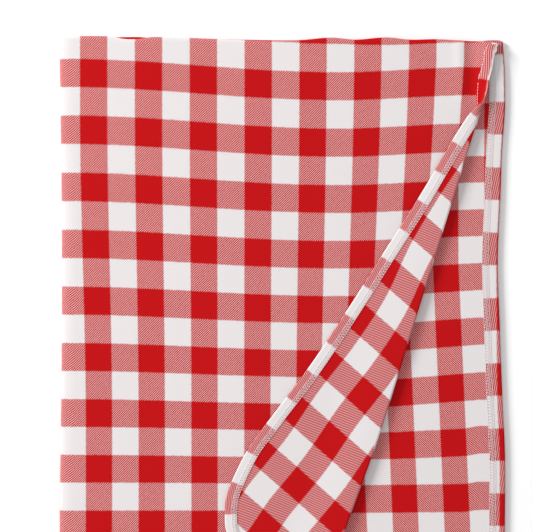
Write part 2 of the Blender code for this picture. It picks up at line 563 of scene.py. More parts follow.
def run_of_points(knots, spacing):
    """Evenly spaced points on a smooth line through 2-D knots."""
    distance = [0.0]
    for a, b in zip(knots, knots[1:]):
        distance.append(distance[-1] + math.dist(a, b))
    xs = [(d, k[0]) for d, k in zip(distance, knots)]
    ys = [(d, k[1]) for d, k in zip(distance, knots)]
    count = max(2, round(distance[-1] / spacing))
    places = [distance[-1] * i / count for i in range(count + 1)]
    return [Vector((through(xs, d), through(ys, d), 0.0)) for d in places]


def round_corner(centre, start, spacing):
    """Points on a quarter turn, clockwise seen from above, from a starting direction."""
    radius = sizes().corner
    count = max(4, round(radius * math.pi / 2 / spacing))
    side = Vector((start.y, -start.x, 0.0))
    angles = [math.pi / 2 * i / count for i in range(1, count + 1)]
    return [centre + radius * (math.cos(a) * start + math.sin(a) * side) for a in angles]


def inward(points):
    """For each point of a clockwise outline, the level direction into the cloth."""
    last = len(points) - 1
    found = []
    for i in range(len(points)):
        ahead = points[min(i + 1, last)] - points[max(i - 1, 0)]
        found.append(Vector((ahead.y, -ahead.x, 0.0)).normalized())
    return found


def full_hem(shift):
    """The side hem and round corner of a layer that isn't turned back."""
    step = sizes().spacing
    radius = sizes().corner
    top, foot = TOP_EDGE - TOP_LOOP, END + radius
    count = round((top - foot) / step)
    ys = [top + (foot - top) * i / count for i in range(count + 1)]
    side = [Vector((through(SIDE_HEM, y) + shift, y, 0.0)) for y in ys]
    centre = Vector((side[-1].x - radius, foot, 0.0))
    return side + round_corner(centre, Vector((1, 0, 0)), step)


def end_hem(start, finish_x):
    """The end hem, from just past a starting point to a given x."""
    count = round((start.x - finish_x) / sizes().spacing)
    xs = [start.x + (finish_x - start.x) * i / count for i in range(1, count + 1)]
    return [Vector((x, start.y, 0.0)) for x in xs]


def turned_hem():
    """The side hem and round corner of the turned corner."""
    return run_of_points(TURNED_HEM, sizes().spacing)


def to_crease(point, direction):
    """Where a level line from a point meets the crease's axis."""
    low, high = -0.002, 0.5
    for _ in range(30):
        middle = (low + high) / 2
        here = point + direction * middle
        if here.x < crease_x(here.y):
            low = middle
        else:
            high = middle
    return point + direction * max(0.0, (low + high) / 2)


# Checks of the cloth, counted from the side fold and the top fold


def top_checks(x, y):
    """The top layer's columns and rows, with the drift that the fold and the flap give them."""
    across, down = x - LEFT, TOP_EDGE - y
    below = down - 0.0341
    drift = 0.0089 * swell((down - 0.1083) / 0.4746) * (0.2595 - across) / 0.2299
    drift -= 0.0533 * max(0.0, below) * (max(0.0, across - 0.2966) / 0.2625) ** 2
    bow = 0.01987 * swell(across / 0.4153) - 0.0074 * swell((across - 0.4153) / 0.1928)
    bow *= max(0.0, 1 - 0.92 * (below / 0.6273) ** 2)
    bow += 0.0027 * half_wave((0.32 - y) / 0.58)
    column = 1 + (across - 0.02966 - drift) / sizes().check_width
    row = 1 + (down - 0.03233 - bow) / sizes().check_length
    wrapped = 0.16 * ease((across - 0.40) / 0.12) + 0.05 * ease((across - 0.56) / 0.05)
    row -= wrapped * (1 - ease(down / 0.032))
    return column, row


def inner_checks(x, y):
    """The columns and rows of the layer below, seen past the crease."""
    lean = 0.0444 * max(0.0, 0.1048 - y)
    fallen = through(INNER_SLOPE, y) * min(0.13, max(0.0, 0.2929 - x))
    drawn_up = 0.0030 * ease((x - 0.268) / 0.025) * ease((-0.105 - y) / 0.04)
    below = 0.34211 - y - fallen + drawn_up
    column = 2 + (x - 0.26133 - lean) / INNER_CHECK_WIDTH
    row = 1 + 25.654 * below - 1.5530 * below * below + 0.2 * (x - 0.29)
    return column + 14, -1 - row


def turned_checks(x, y):
    """The turned corner's columns from its hem, and its rows along it, bowed as its hem is."""
    offset = Vector((x, y, 0.0)) - TURNED_CHECK
    skew = TURNED_ACROSS.cross(TURNED_ALONG).z
    column = offset.cross(TURNED_ALONG).z / skew / TURNED_CHECK_WIDTH
    row = TURNED_ACROSS.cross(offset).z / skew / TURNED_CHECK_LENGTH
    return column - through(TURNED_BOW, row), row - through(TURNED_DRIFT, row)


# Sheets


def sheet_grid(name, columns, rows, place, weave, finish, thickness=None):
    """A sheet made by moving a grid's points. Its place and weave are given for each."""
    shape = bmesh.new()
    bmesh.ops.create_grid(shape, x_segments=columns, y_segments=rows, size=0.5)
    checks = shape.loops.layers.uv.new("Checks")
    spots = {vert: (vert.co.x + 0.5, 0.5 - vert.co.y) for vert in shape.verts}
    for vert, (across, down) in spots.items():
        vert.co = place(across, down)
    counted = {vert: weave(*spot, vert.co) for vert, spot in spots.items()}
    for edge in shape.edges:
        edge.smooth = not edge.is_boundary
    for face in shape.faces:
        face.smooth = True
        for loop in face.loops:
            loop[checks].uv = counted[loop.vert]
    return finished(name, shape, finish, thickness)


def woven_sheet(name, columns, rows, place, weave, finish="woven_checks"):
    """A sheet as thick as the cover's cloth."""
    return sheet_grid(name, columns, rows, place, weave, finish, sizes().cloth)


def linked(name, data):
    """A new object in the scene."""
    obj = bpy.data.objects.new(name, data)
    bpy.context.scene.collection.objects.link(obj)
    return obj


def finished(name, shape, finish, thickness=None):
    """Links a shape as one piece, with a wall of cloth if a thickness is given."""
    data = bpy.data.meshes.new(name)
    shape.to_mesh(data)
    shape.free()
    data.materials.append(bpy.data.materials[finish])
    obj = linked(name, data)
    if thickness:
        wall = obj.modifiers.new("Cloth", "SOLIDIFY")
        wall.thickness = thickness
        wall.offset = 0.0
    return obj


def steps(length):
    """How many steps of a sheet's spacing fit in a length."""
    return max(2, round(length / sizes().spacing))


def declare(obj, nodes, rests_on=()):
    """Hides the model's nodes that a sheet stands for."""
    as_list(rests_on)
    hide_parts(*nodes)


def full_layer(name, height, shift, checks, seam):
    """A layer with its own hem: rows run level from the side fold to the hem."""
    outline = full_hem(shift)
    ends = [p + d * PANEL_INSET for p, d in zip(outline, inward(outline))]

    def end_of(down):
        place = down * (len(ends) - 1)
        i = min(int(place), len(ends) - 2)
        return ends[i].lerp(ends[i + 1], place - i)

    def place(across, down):
        end = end_of(down)
        x = seam(end.y) + (end.x - seam(end.y)) * across
        return Vector((x, end.y, height(x, end.y)))

    def weave(across, down, point):
        return checks(point.x, point.y)

    return woven_sheet(name, steps(RIGHT - LEFT), len(outline) - 1, place, weave)


def half_oval(depth, half):
    """Length of half an oval, by a rule that is a little long where it is flat."""
    return math.pi * math.sqrt((depth**2 + half**2) / 2)


def side_arc():
    """Length of the side fold's roll, from one layer to the other."""
    return half_oval(sizes().fold_depth, (TOP_Z - BOTTOM_Z) / 2) * 0.962


def bottom_checks(x, y):
    """The bottom layer's checks carry on from the top layer's round the side fold."""
    seam = side_seam(y)
    column, row = top_checks(seam, y)
    return column - (side_arc() + x - seam) / sizes().check_width, row


def lower_inner_checks(x, y):
    """The lower inner layer's checks carry on from those above it round the inner fold."""
    seam = inner_seam(y)
    column, row = inner_checks(seam, y)
    return column - (INNER_FOLD_CLOTH + x - seam) / sizes().check_width, row


def top_layer():
    """The top layer, from the loop of its top fold down to its end hem and across to the crease."""
    level_rows = steps(TOP_EDGE - END)
    rows = LOOP_ROWS + level_rows
    loop_length = half_oval(TOP_LOOP, (TOP_Z - UPPER_INNER_Z) / 2)
    crossing = crease_axis(hem_crossing(0.0, PANEL_INSET))

    def right_edge(y):
        return through(TOP_SIDE_HEM, y) - PANEL_INSET if y > crossing.y else crease_x(y)

    def place(across, down):
        row = down * rows
        down_level = max(0.0, (row - LOOP_ROWS) / level_rows)
        y = TOP_EDGE - TOP_LOOP + (END + PANEL_INSET - TOP_EDGE + TOP_LOOP) * down_level
        left = side_seam(y)
        x = left + (right_edge(y) - left) * across
        y += (through(TOP_SILHOUETTE, x) - TOP_EDGE) * (1 - down_level) ** 3
        z = top_height(x, y)
        if row < LOOP_ROWS:
            turn = math.pi * (1 - row / LOOP_ROWS)
            y += TOP_LOOP * math.sin(turn)
            z -= (z - upper_inner_height(x, y)) / 2 * (1 - math.cos(turn))
        return Vector((x, y, z))

    def weave(across, down, point):
        row = down * rows
        if row >= LOOP_ROWS:
            return top_checks(point.x, point.y)
        column, up = top_checks(point.x, through(TOP_SILHOUETTE, point.x) - TOP_LOOP)
        return column, up - loop_length * (1 - row / LOOP_ROWS) / sizes().check_length

    return woven_sheet("top_layer_cloth", steps(RIGHT - LEFT), rows, place, weave)


def lower_top_fold():
    """The fold that joins the two lower layers along the top edge."""
    half = (LOWER_INNER_Z - BOTTOM_Z) / 2

    def place(across, down):
        y = TOP_EDGE - TOP_LOOP
        left = side_seam(y)
        x = left + (through(SIDE_HEM, y) - PANEL_INSET - left) * across
        depth = through(LOWER_FOLD_SILHOUETTE, x) - y
        turn = math.pi * down
        z = (LOWER_INNER_Z + BOTTOM_Z) / 2 + half * math.cos(turn)
        return Vector((x, y + depth * math.sin(turn), z))

    def weave(across, down, point):
        column, row = bottom_checks(point.x, TOP_EDGE - TOP_LOOP)
        return column, row - 1.1 * (1 - down)

    return woven_sheet("lower_top_fold_cloth", steps(RIGHT - LEFT), LOOP_ROWS, place, weave)


def side_fold(name, seam, depth, low_height, high_height, checks, arc):
    """A roll of cloth that joins two layers along the side, drawn shut at its upper end."""
    end_rows = 8
    rows = end_rows + steps(TOP_EDGE - END)
    top = through(TOP_SILHOUETTE, seam(TOP_EDGE)) - 0.0002

    def place(across, down):
        row = down * rows
        close = max(0.0, 1 - row / end_rows)
        y = top - TOP_LOOP * (1 - close * close)
        if row > end_rows:
            y += (END + PANEL_INSET - top + TOP_LOOP) * (row - end_rows) / (rows - end_rows)
        open_share = (1 - close**9) ** 0.5
        x = seam(y)
        low, high = low_height(x, y), high_height(x, y)
        turn = math.pi * (1 - across)
        z = (low + high) / 2 + (high - low) / 2 * open_share * math.cos(turn)
        return Vector((x - depth * open_share * math.sin(turn), y, z))

    def weave(across, down, point):
        column, row = checks(seam(point.y), point.y)
        return column - arc * (1 - across) / sizes().check_width, row

    return woven_sheet(name, 16, rows, place, weave)


def crease_roll():
    """The soft roll between the top layer and its turned corner."""

    def along_crease(out, down):
        start, end = hem_crossing(out, PANEL_INSET), end_crossing(out, PANEL_INSET)
        return start + (end - start) * down

    def place(across, down):
        out = HALF_TURN * across
        return roll_point(out, along_crease(out, down))[0]

    def weave(across, down, point):
        axis_in = crease_axis(along_crease(HALF_TURN * across, down))
        column, row = top_checks(axis_in.x, axis_in.y)
        across_column, along_row = turned_checks(axis_in.x, axis_in.y)
        column_end, row_end = 27 - across_column, along_row + 12
        column_end = column + ((column_end - column + 1) % 2 - 1)
        row_end = row + ((row_end - row + 1) % 2 - 1)
        return column + (column_end - column) * across, row + (row_end - row) * across

    rows = steps(TOP_EDGE - END)
    return woven_sheet("crease_cloth", 16, rows, place, weave, "crease_checks")


def turned_layer():
    """The turned corner: rows run from its hem to the crease."""
    outline = turned_hem()
    starts = [p - d * PANEL_INSET for p, d in zip(outline, inward(outline))]
    ends = [to_crease(start, TURNED_ACROSS) for start in starts]

    def place(across, down):
        spot = down * (len(starts) - 1)
        i = min(int(spot), len(starts) - 2)
        start = starts[i].lerp(starts[i + 1], spot - i)
        end = ends[i].lerp(ends[i + 1], spot - i)
        point = start.lerp(end, across)
        point.z = turned_height(point)
        return point

    def weave(across, down, point):
        return turned_checks(point.x, point.y)

    return woven_sheet("turned_corner_cloth", 42, len(outline) - 1, place, weave, "turned_checks")


# Edging and stitching


def level_edge(points, height, wrong_up):
    """An edge of a level layer: its points and how to step in from each of them."""
    directions = inward(points)

    def at(i, inset):
        plan = points[i] + directions[i] * inset
        return Vector((plan.x, plan.y, height(plan.x, plan.y))), UP if wrong_up else -UP

    return at, len(points)


def flat_place(point, turned):
    """A point of the pile on the flat cloth: how far out from the crease's axis, and along it."""
    along = (point - CREASE_PLACE).dot(CREASE_DOWN)
    for _ in range(3):
        along += (point - crease_axis(along)).dot(CREASE_DOWN)
    out = (point - crease_axis(along)).dot(CREASE_OUT)
    return Vector((HALF_TURN - out if turned else out, along, 0.0))


def unrolled(out, along):
    """The point of the pile at a place on the flat cloth, and its wrong side's direction."""
    if 0 <= out <= HALF_TURN:
        return roll_point(out, along)
    turned = out > 0
    point = crease_axis(along) + CREASE_OUT * (HALF_TURN - out if turned else out)
    point.z = turned_height(point) if turned else top_height(point.x, point.y)
    return point, UP if turned else -UP


def flat_edge(places, scale):
    """An edge that may roll over the crease, from its places on the flat cloth.

    Its first ten points turn from a level cut at the upper end to square across the hem.
    """
    level_in = Vector((-CREASE_OUT.x, -CREASE_DOWN.x, 0.0))
    square = [-direction for direction in inward(places)]
    directions = [level_in.lerp(d, ease(i / 10)).normalized() for i, d in enumerate(square)]

    def at(i, inset):
        place = places[i] + directions[i] * inset * scale(i)
        return unrolled(place.x, place.y)

    return at, len(places)


def part_of(edge, first, last):
    """A run of an edge."""
    at, _ = edge
    return (lambda i, inset: at(first + i, inset)), last - first + 1


def run_lengths(edge):
    """Distance of each point of an edge from its first point."""
    at, count = edge
    points = [at(i, 0.0)[0] for i in range(count)]
    lengths = [0.0]
    for a, b in zip(points, points[1:]):
        lengths.append(lengths[-1] + (b - a).length)
    return lengths


def block_counts(edge, start, first, block, before):
    """The edging's blocks at each point of an edge, counted from a first one at a given place."""
    at, count = edge
    lengths = run_lengths(edge)
    points = [at(i, 0.0)[0].xy for i in range(count)]
    near = min(range(1, count - 1), key=lambda i: math.dist(points[i], start))
    tangent = (points[near + 1] - points[near - 1]).normalized()
    start_length = lengths[near] + tangent.dot(Vector(start) - points[near])
    past = [length - start_length for length in lengths]
    return [first + distance / (block if distance > 0 else before) for distance in past]


def folded_hem():
    """The folded-back hem's places on the flat cloth, and the first and last point of each run."""
    top = TOP_EDGE - HEM_TOP_GAP
    count = round((top - HEM_AT_CREASE) / sizes().spacing)
    ys = [top + (HEM_AT_CREASE - top) * i / count for i in range(count + 1)]
    places = [flat_place(Vector((through(TOP_SIDE_HEM, y), y, 0.0)), False) for y in ys]
    side_last = len(places) - 1
    hem = turned_hem()
    turned = [flat_place(point, True) for point in hem]
    places += [places[-1].lerp(turned[0], i / CROSSING_STEPS) for i in range(1, CROSSING_STEPS)]
    width = trim().turned_width
    clear = next(i for i, place in enumerate(turned) if place.x - width > HALF_TURN)
    turned_first = len(places) + clear
    places += turned
    corner_end = hem[-1]
    foot = to_crease(corner_end, TURNED_ACROSS)
    count = steps((foot - corner_end).length)
    places += [flat_place(corner_end.lerp(foot, i / count), True) for i in range(1, count)]
    turned_last = len(places) - 1
    corner = crease_axis(end_crossing(0.0, 0.0))
    back, under = flat_place(foot, True), flat_place(corner, False)
    places += [back.lerp(under, i / CROSSING_STEPS) for i in range(CROSSING_STEPS + 1)]
    end_first = len(places)
    places += [flat_place(point, False) for point in end_hem(corner, side_seam(END))]
    runs = {
        "side": (0, side_last),
        "crossing": (side_last, turned_first),
        "turned": (turned_first, turned_last),
        "end_crossing": (turned_last, end_first),
        "end": (end_first, len(places) - 1),
    }
    return places, runs


def edging_strip(name, edge, wrong_width, face_width, blocks, boundary):
    """A strip round the edge of the cloth, from the wrong side's stitching to the face's."""
    at, count = edge
    puff = trim().puff
    section = [(wrong_width, 0.45 * puff), (wrong_width - 0.0008, 0.7 * puff)]
    section += [(wrong_width * k, puff) for k in (0.85, 0.66, 0.48, 0.3)]
    section += [(0.0030, 1.05 * puff), (0.0014, 0.95 * puff), (0.0004, 0.6 * puff), (0.0, 0.0)]
    section += [(0.0004, -0.6 * puff), (0.0014, -0.95 * puff), (0.0030, -puff)]
    section += [(face_width * k, -0.9 * puff) for k in (0.35, 0.6, 0.85)]
    section += [(face_width, -0.4 * puff)]
    around = [0.0]
    for a, b in zip(section, section[1:]):
        around.append(around[-1] + math.dist(a, b))
    edge_at = around[section.index((0.0, 0.0))]

    def place(across, down):
        inset, lift = section[round(across * (len(section) - 1))]
        point, wrong = at(round(down * (count - 1)), inset)
        return point + wrong * lift

    def weave(across, down, point):
        i = round(down * (count - 1))
        past = around[round(across * (len(section) - 1))] - edge_at + boundary(at(i, 0.0)[0])
        return 1 + past / trim().block, blocks[i]

    strip = sheet_grid(name, len(section) - 1, count - 1, place, weave, "edging_checks")
    return strip


def thread_runs(name, runs):
    """Runs of thread as one mesh of thin tubes."""
    curve = bpy.data.curves.new(name, "CURVE")
    curve.dimensions = "3D"
    curve.bevel_depth = trim().thread / 2
    curve.bevel_resolution = 0
    curve.use_fill_caps = True
    for run in runs:
        spline = curve.splines.new("POLY")
        spline.points.add(len(run) - 1)
        for knot, point in zip(spline.points, run):
            knot.co = (*point, 1.0)
    guide = linked(name, curve)
    bpy.context.view_layer.update()
    evaluated = guide.evaluated_get(bpy.context.evaluated_depsgraph_get())
    data = bpy.data.meshes.new_from_object(evaluated)
    data.name = name
    data.materials.clear()
    data.materials.append(bpy.data.materials["thread"])
    bpy.data.objects.remove(guide)
    obj = linked(name, data)
    return obj


def cover_stitch(name, edge, wrong_width):
    """A looper thread that zigzags between two rows on the wrong side, and a row on the face."""
    at, count = edge
    places = run_lengths(edge)
    near, far = wrong_width - trim().band, wrong_width + 0.0002
    lift = trim().puff * 0.75 + trim().thread * 0.55

    def on_edge(distance, inset, height):
        distance = min(max(distance, 0.0), places[-1])
        i = next((n for n in range(count - 2) if distance < places[n + 1]), count - 2)
        t = (distance - places[i]) / (places[i + 1] - places[i])
        a, wrong_a = at(i, inset)
        b, wrong_b = at(i + 1, inset)
        return a.lerp(b, t) + wrong_a.lerp(wrong_b, t).normalized() * height

    pitch = trim().stitch
    middle = (near + far) / 2
    zigzag = ((0.0, near, 1.0), (0.35, middle, 1.15), (0.5, far, 1.0), (0.85, middle, 1.15))
    sewn, proud = trim().face_width - 0.0012, 0.45 * trim().puff + 0.3 * trim().thread
    wrong_side = ((0.1, 0.9), (0.45, 1.3), (0.8, 0.9))
    face_side = ((0.12, 0.7), (0.45, 1.15), (0.78, 0.7))
    lines = ((near, lift, wrong_side), (far, lift, wrong_side), (sewn, -proud, face_side))
    looper = []
    rows = []
    for n in range(int(places[-1] / pitch)):
        start = n * pitch
        looper += [on_edge(start + k * pitch, inset, lift * h) for k, inset, h in zigzag]
        for inset, height, stitch in lines:
            rows.append([on_edge(start + k * pitch, inset, height * h) for k, h in stitch])
    return thread_runs(name, [looper, *rows])


# Finishes


def group_socket(group, name, kind, way, default=None):
    socket = group.interface.new_socket(name=name, in_out=way, socket_type=kind)
    if default is not None:
        socket.default_value = default
    return socket


def calculation(nodes, links, operation, *values):
    """A Math node whose inputs are numbers or outputs of other nodes."""
    node = nodes.new("ShaderNodeMath")
    node.operation = operation
    for socket, value in zip(node.inputs, values):
        if isinstance(value, (int, float)):
            socket.default_value = value
        else:
            links.new(value, socket)
    return node.outputs["Value"]


def colour_mix(nodes, links, factor, first, second):
    node = nodes.new("ShaderNodeMix")
    node.data_type = "RGBA"
    for i, value in ((0, factor), (6, first), (7, second)):
        socket = node.inputs[i]
        if isinstance(value, bpy.types.NodeSocket):
            links.new(value, socket)
        else:
            socket.default_value = value
    return node.outputs[2]


def noise_texture(nodes, links, place, scale, detail):
    node = nodes.new("ShaderNodeTexNoise")
    node.inputs["Scale"].default_value = scale
    node.inputs["Detail"].default_value = detail
    links.new(place, node.inputs["Vector"])
    return node


def add_bump(nodes, links, shader, height, strength, distance):
    bump = nodes.new("ShaderNodeBump")
    bump.inputs["Strength"].default_value = strength
    bump.inputs["Distance"].default_value = distance
    links.new(height, bump.inputs["Height"])
    links.new(bump.outputs["Normal"], shader.inputs["Normal"])


def new_finish(name):
    """A new material's nodes, its links and its shader."""
    material = bpy.data.materials.new(name)
    material.use_nodes = True
    tree = material.node_tree
    return tree.nodes, tree.links, tree.nodes["Principled BSDF"]


def gingham_group():
    """Checks of dyed warp and weft in a twill weave, from a position counted in checks."""
    group = bpy.data.node_groups.new("Gingham Twill", "ShaderNodeTree")
    group_socket(group, "Checks", "NodeSocketVector", "INPUT")
    group_socket(group, "Red", "NodeSocketColor", "INPUT", (0.5, 0.01, 0.01, 1))
    group_socket(group, "White", "NodeSocketColor", "INPUT", (0.8, 0.8, 0.8, 1))
    group_socket(group, "Lines Across", "NodeSocketFloat", "INPUT", 11.8)
    group_socket(group, "Lines Down", "NodeSocketFloat", "INPUT", 12.1)
    group_socket(group, "Line Contrast", "NodeSocketFloat", "INPUT", 1.0)
    group_socket(group, "Colour", "NodeSocketColor", "OUTPUT")
    group_socket(group, "Height", "NodeSocketFloat", "OUTPUT")
    group_socket(group, "Roughness", "NodeSocketFloat", "OUTPUT")
    nodes, links = group.nodes, group.links
    given = nodes.new("NodeGroupInput")
    made = nodes.new("NodeGroupOutput")

    def maths(operation, *values):
        return calculation(nodes, links, operation, *values)

    # Yarns wander a little, so the edges of the checks aren't ruled lines
    wander = noise_texture(nodes, links, given.outputs["Checks"], 9.0, 3.0)
    shift = nodes.new("ShaderNodeVectorMath")
    shift.operation = "MULTIPLY_ADD"
    shift.inputs[1].default_value = (0.05, 0.05, 0.0)
    links.new(wander.outputs["Color"], shift.inputs[0])
    links.new(given.outputs["Checks"], shift.inputs[2])
    centred = nodes.new("ShaderNodeVectorMath")
    centred.operation = "SUBTRACT"
    centred.inputs[1].default_value = (0.025, 0.025, 0.0)
    links.new(shift.outputs["Vector"], centred.inputs[0])
    split = nodes.new("ShaderNodeSeparateXYZ")
    links.new(centred.outputs["Vector"], split.inputs["Vector"])
    straight = nodes.new("ShaderNodeSeparateXYZ")
    links.new(given.outputs["Checks"], straight.inputs["Vector"])

    def red_stripe(place):
        """1 in every second check, with a soft edge."""
        wave = maths("PINGPONG", maths("SUBTRACT", place, 0.5), 1.0)
        stripe = maths("MULTIPLY_ADD", maths("SUBTRACT", wave, 0.5), STRIPE_SLOPE, 0.5)
        return maths("MINIMUM", maths("MAXIMUM", stripe, 0.0), 1.0)

    warp, weft = red_stripe(split.outputs["X"]), red_stripe(split.outputs["Y"])
    phase = maths("MULTIPLY", straight.outputs["X"], given.outputs["Lines Across"])
    phase = maths("MULTIPLY_ADD", straight.outputs["Y"], given.outputs["Lines Down"], phase)
    wave = maths("MULTIPLY_ADD", maths("COSINE", maths("MULTIPLY", phase, math.tau)), 0.5, 0.5)
    line = maths("MULTIPLY_ADD", maths("SUBTRACT", wave, LINE_THRESHOLD), LINE_SLOPE, 0.5)
    line = maths("SUBTRACT", maths("MINIMUM", maths("MAXIMUM", line, 0.0), 1.0), LINE_SHARE)
    line = maths("MULTIPLY_ADD", line, given.outputs["Line Contrast"], LINE_SHARE)
    both = maths("MULTIPLY", warp, weft)
    one = maths("SUBTRACT", maths("ADD", warp, weft), maths("MULTIPLY", both, 2.0))
    mixed = maths("MULTIPLY", one, line)
    amount = maths("ADD", both, mixed)
    colour = colour_mix(nodes, links, amount, given.outputs["White"], given.outputs["Red"])

    # Faint twill shading in the plain checks, and slubs of thicker yarn
    slub = noise_texture(nodes, links, given.outputs["Checks"], 38.0, 4.0)
    tone = maths("MULTIPLY_ADD", line, -0.07, 1.035)
    tone = maths("MULTIPLY", tone, maths("MULTIPLY_ADD", slub.outputs["Fac"], 0.10, 0.95))
    shaded = nodes.new("ShaderNodeVectorMath")
    shaded.operation = "SCALE"
    links.new(colour, shaded.inputs[0])
    links.new(tone, shaded.inputs["Scale"])
    links.new(shaded.outputs["Vector"], made.inputs["Colour"])
    links.new(maths("MULTIPLY_ADD", slub.outputs["Fac"], 0.5, line), made.inputs["Height"])
    links.new(maths("MULTIPLY_ADD", slub.outputs["Fac"], 0.12, 0.82), made.inputs["Roughness"])
    return group


def cloth_finish(name, group, lines_across, lines_down, contrast):
    """A woven cloth, read from the piece's own count of checks."""
    finishes = bpy.context.scene.cover_finishes
    nodes, links, shader = new_finish(name)
    shader.inputs["Specular IOR Level"].default_value = 0.08
    shader.inputs["Sheen Weight"].default_value = 0.02
    shader.inputs["Sheen Roughness"].default_value = 0.5
    checks = nodes.new("ShaderNodeUVMap")
    checks.uv_map = "Checks"
    weave = nodes.new("ShaderNodeGroup")
    weave.node_tree = group
    weave.inputs["Red"].default_value = (*finishes.red, 1)
    weave.inputs["White"].default_value = (*finishes.white, 1)
    weave.inputs["Lines Across"].default_value = lines_across
    weave.inputs["Lines Down"].default_value = lines_down
    weave.inputs["Line Contrast"].default_value = contrast
    links.new(checks.outputs["UV"], weave.inputs["Checks"])
    links.new(weave.outputs["Colour"], shader.inputs["Base Color"])
    links.new(weave.outputs["Roughness"], shader.inputs["Roughness"])
    add_bump(nodes, links, shader, weave.outputs["Height"], 0.35, 0.0002)


def thread_finish():
    """Spun thread: fine twist, and a little pinker in places, mixed in by the twist's noise."""
    nodes, links, shader = new_finish("thread")
    shader.inputs["Specular IOR Level"].default_value = 0.2
    place = nodes.new("ShaderNodeTexCoord")
    twist = noise_texture(nodes, links, place.outputs["Object"], 900.0, 2.0)
    thread = bpy.context.scene.cover_finishes.thread
    pinker = (thread[0], thread[1] * 0.92, thread[2] * 0.92, 1)
    colour = colour_mix(nodes, links, twist.outputs["Fac"], (*thread, 1), pinker)
    links.new(colour, shader.inputs["Base Color"])
    rough = calculation(nodes, links, "MULTIPLY_ADD", twist.outputs["Fac"], 0.2, 0.6)
    links.new(rough, shader.inputs["Roughness"])
    add_bump(nodes, links, shader, twist.outputs["Fac"], 0.3, 0.0001)


# Operators


class COVER_OT_finishes(bpy.types.Operator):
    """Makes the woven checks, the edging's checks and the thread"""

    bl_idname = "cover.finishes"
    bl_label = "Finishes"

    def execute(self, context):
        group = gingham_group()
        cloth_finish("woven_checks", group, 11.8, 12.1, 1.0)
        cloth_finish("crease_checks", group, 3.8, 11.9, 0.1)
        cloth_finish("turned_checks", group, 3.8, 11.9, 0.45)
        cloth_finish("edging_checks", group, 15.5, 3.0, 0.6)
        thread_finish()
        return {"FINISHED"}


class COVER_OT_layers(bpy.types.Operator):
    """Makes the four level layers of the pile and the loops that join them along the top edge"""

    bl_idname = "cover.layers"
    bl_label = "Layers"

    def execute(self, context):
        width, length = RIGHT - LEFT, TOP_EDGE - END
        bottom = full_layer("bottom_cloth", bottom_height, BOTTOM_SHIFT, bottom_checks, side_seam)
        lower = full_layer(
            "lower_inner_cloth",
            lower_inner_height,
            LOWER_INNER_SHIFT,
            lower_inner_checks,
            inner_seam,
        )
        upper = full_layer(
            "upper_inner_cloth", upper_inner_height, UPPER_INNER_SHIFT, inner_checks, inner_seam
        )
        fold = lower_top_fold()
        top = top_layer()
        for sheet, body, flat_length, nodes, under in (
            (bottom, "lower_half", length, ["bottom_layer"], []),
            (lower, "lower_half", length, ["lower_inner_layer"], [bottom.name]),
            (fold, "lower_half", TOP_FOLD_FLAT, ["lower_top_fold"], [bottom.name]),
            (upper, "upper_half", length, ["upper_inner_layer"], [lower.name]),
            (top, "upper_half", length, ["top_layer", "upper_top_fold"], [upper.name]),
        ):
            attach(sheet, body)
            declare(sheet, nodes, under)
        return {"FINISHED"}


class COVER_OT_side_folds(bpy.types.Operator):
    """Makes the two rolls of cloth, one inside the other, that join the halves along the side"""

    bl_idname = "cover.side_folds"
    bl_label = "Side Folds"

    def execute(self, context):
        arc = side_arc()
        for name, seam, depth, lower, upper, checks, cloth, low, high, node, width in (
            (
                "outer_side_fold_cloth", side_seam, sizes().fold_depth,
                bottom_height, top_height, top_checks, arc,
                BOTTOM_Z, TOP_Z, "outer_side_fold", arc,
            ),
            (
                "inner_side_fold_cloth", inner_seam, INNER_FOLD_DEPTH,
                lower_inner_height, upper_inner_height, inner_checks, INNER_FOLD_CLOTH,
                LOWER_INNER_Z, UPPER_INNER_Z, "inner_side_fold", INNER_FOLD_FLAT,
            ),
        ):
            roll = side_fold(name, seam, depth, lower, upper, checks, cloth)
            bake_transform(roll)
            declare(roll, [node])
        return {"FINISHED"}


class COVER_OT_turned_corner(bpy.types.Operator):
    """Makes the turned corner and the soft roll of its crease"""

    bl_idname = "cover.turned_corner"
    bl_label = "Turned Corner"

    def execute(self, context):
        roll = crease_roll()
        corner = turned_layer()
        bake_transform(roll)
        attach(corner, "corner_flap")
        declare(roll, ["crease_fold"])
        declare(corner, ["turned_corner"], ["top_layer_cloth"])
        return {"FINISHED"}


